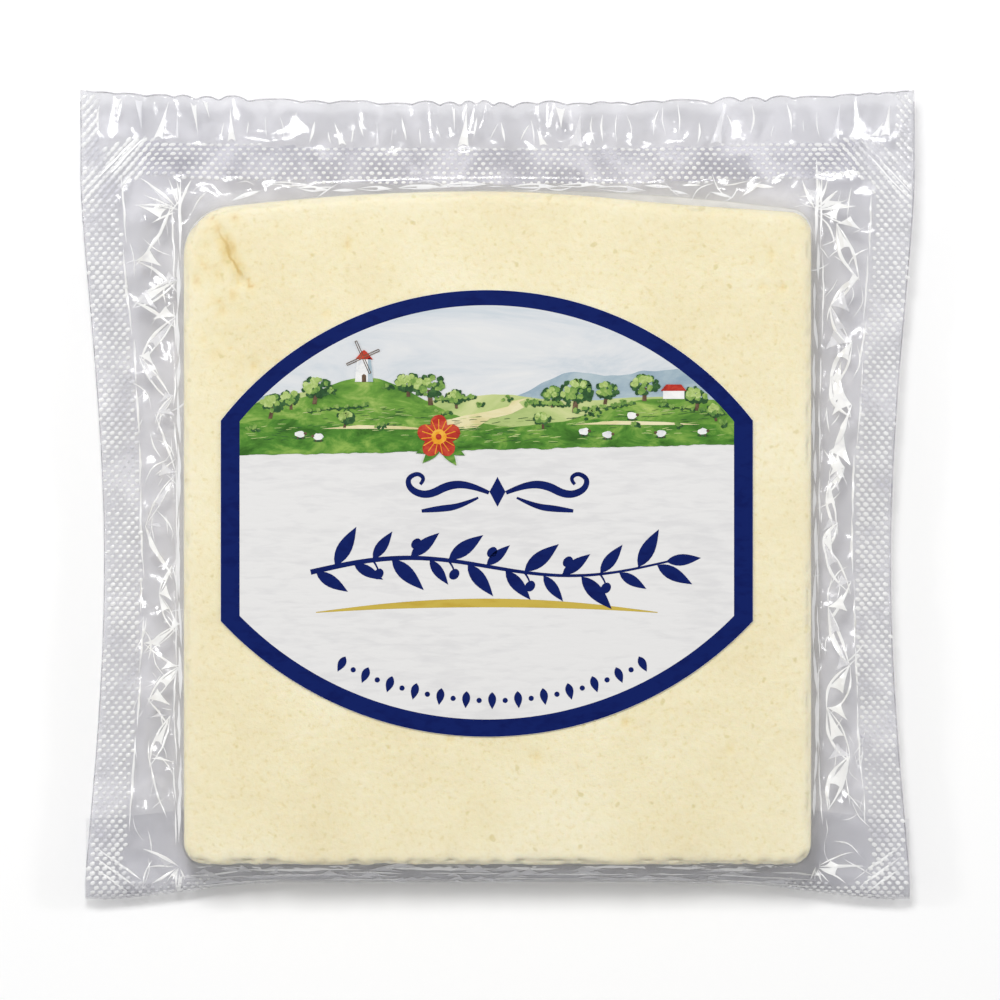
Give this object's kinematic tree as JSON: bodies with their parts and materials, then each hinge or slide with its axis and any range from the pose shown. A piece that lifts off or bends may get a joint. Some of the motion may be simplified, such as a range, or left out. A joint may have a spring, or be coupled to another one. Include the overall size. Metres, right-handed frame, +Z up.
{
  "type": "vacuum-packed slab of hard cheese",
  "caption": "Slab of pale hard cheese sealed in a clear vacuum film pouch with embossed seal edges and a paper front label, lying on its back",
  "frame": {"origin": "under the middle of the pouch, on the surface that the pack lies on", "axes": "+X across the pack to the right of its label, +Y towards the pouch's waved top lip, +Z up out of the labelled face"},
  "size_m": [0.1568, 0.1523, 0.0171],
  "materials": {
    "cheese": "pale cream hard cheese, close-grained, slightly waxy",
    "clear_film": "clear glossy laminate film, embossed in dots along its seals",
    "label_paper": "coated paper, semi-matt, printed"
  },
  "bodies": {
    "root": {"cheese_block": "cheese", "film_pouch": "clear_film", "front_label": "label_paper"}
  },
  "joints": []
}
